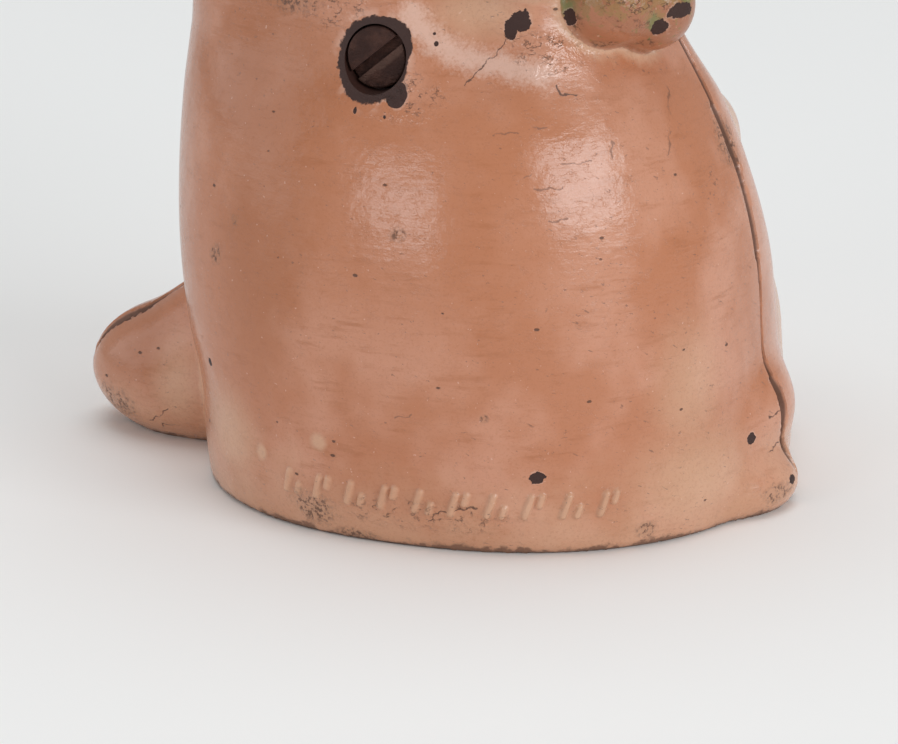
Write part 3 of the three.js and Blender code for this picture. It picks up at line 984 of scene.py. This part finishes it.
def browned_iron():
    """Iron gone brown in patches, worn lighter along one lip of the slot."""
    material, shader, place = start_material("browned_iron")
    tree = material.node_tree
    patches = place.noise(0.5, 4, 0.6).rise(0.4, 0.65)
    colour = patches.blend(BARE_IRON, BROWNED)
    burr = place.from_line(*BURR)
    burr = (burr + (patches - 0.5) * 0.4).rise(0.7, 0.3)
    colour = colour.painted(WORN_IRON, burr * 0.5)
    tree.links.new(colour.socket, shader.inputs["Base Color"])
    scratched = place.vector("MULTIPLY", (1, 1, 2)).noise(1.2, 5, 0.7)
    tree.links.new((0.45 + scratched * 0.35).socket, shader.inputs["Roughness"])
    relief = scratched * 0.35 + place.noise(0.5, 2) * 0.5 + burr * 0.12
    bump = place.make("ShaderNodeBump", {"Height": relief, "Distance": MM, "Strength": 1.0})
    tree.links.new(bump.socket, shader.inputs["Normal"])
    shader.inputs["Metallic"].default_value = 0.3
    return material


screw = make_screw()
screw.data.materials.clear()
screw.data.materials.append(browned_iron())


# The studio
# A wide pale floor in a pale room, three soft boxes on the camera's side and one overhead, and the
# camera where the photograph was taken from: behind the dog, a little to its right and above.
CAMERA_TURN, CAMERA_RISE = 201, 17
CAMERA_DISTANCE = 640
CAMERA_AIM = (7.74, -0.92, 11.89)
CAMERA_LENS = 189.9
FLOOR_SIZE = 6
FLOOR_COLOUR = (0.895, 0.85, 0.82, 1)
ROOM_COLOUR = (0.95, 0.98, 1.0, 1)
ROOM_STRENGTH = 0.36
LAMP_COLOUR = (0.88, 0.96, 1)
LAMP_AIM = (0, 0, 0.05)


def direction(turn, rise):
    """The way from the bank to a compass turn and a rise in degrees; the dog looks along turn 0."""
    turn, rise = math.radians(turn), math.radians(rise)
    return Vector((math.sin(turn) * math.cos(rise), -math.cos(turn) * math.cos(rise), math.sin(rise)))


toward_camera = direction(CAMERA_TURN, CAMERA_RISE)
aim = Vector(CAMERA_AIM) * MM + TO_FRAME
camera = bpy.data.objects.new("camera", bpy.data.cameras.new("camera"))
bpy.context.scene.collection.objects.link(camera)
camera.data.lens = CAMERA_LENS
camera.location = aim + toward_camera * CAMERA_DISTANCE * MM
camera.rotation_euler = toward_camera.to_track_quat("Z", "Y").to_euler()
camera.data.clip_start = 0.01
bpy.context.scene.camera = camera
bpy.context.scene.view_settings.view_transform = "Standard"

bpy.ops.mesh.primitive_plane_add(size=FLOOR_SIZE, location=(0, 0, 0))
floor = bpy.context.object
floor.name = "floor"
floor_material = bpy.data.materials.new("pale_floor")
floor_material.use_nodes = True
floor_shader = floor_material.node_tree.nodes["Principled BSDF"]
floor_shader.inputs["Base Color"].default_value = FLOOR_COLOUR
floor_shader.inputs["Roughness"].default_value = 0.7
floor.data.materials.append(floor_material)

world = bpy.data.worlds.new("room")
world.use_nodes = True
world.node_tree.nodes["Background"].inputs["Color"].default_value = ROOM_COLOUR
world.node_tree.nodes["Background"].inputs["Strength"].default_value = ROOM_STRENGTH
bpy.context.scene.world = world


def soft_box(name, turn, rise, size, power, distance):
    """A soft box, placed by its compass turn and rise as seen from the bank, facing it."""
    toward = direction(turn, rise)
    lamp = bpy.data.objects.new(name, bpy.data.lights.new(name, "AREA"))
    bpy.context.scene.collection.objects.link(lamp)
    lamp.data.shape = "RECTANGLE"
    lamp.data.size, lamp.data.size_y = size
    lamp.data.energy = power
    lamp.data.color = LAMP_COLOUR
    lamp.location = Vector(LAMP_AIM) + toward * distance
    lamp.rotation_euler = toward.to_track_quat("Z", "Y").to_euler()


soft_box("right_box", 246, 24, (1.3, 0.6), 16, 1.8)
soft_box("left_box", 161, 15, (0.6, 0.38), 3.6, 1.8)
soft_box("fill_box", 105, 20, (1.5, 1), 4.5, 1.8)
soft_box("top_box", 21, 80, (2, 2), 30, 2.4)
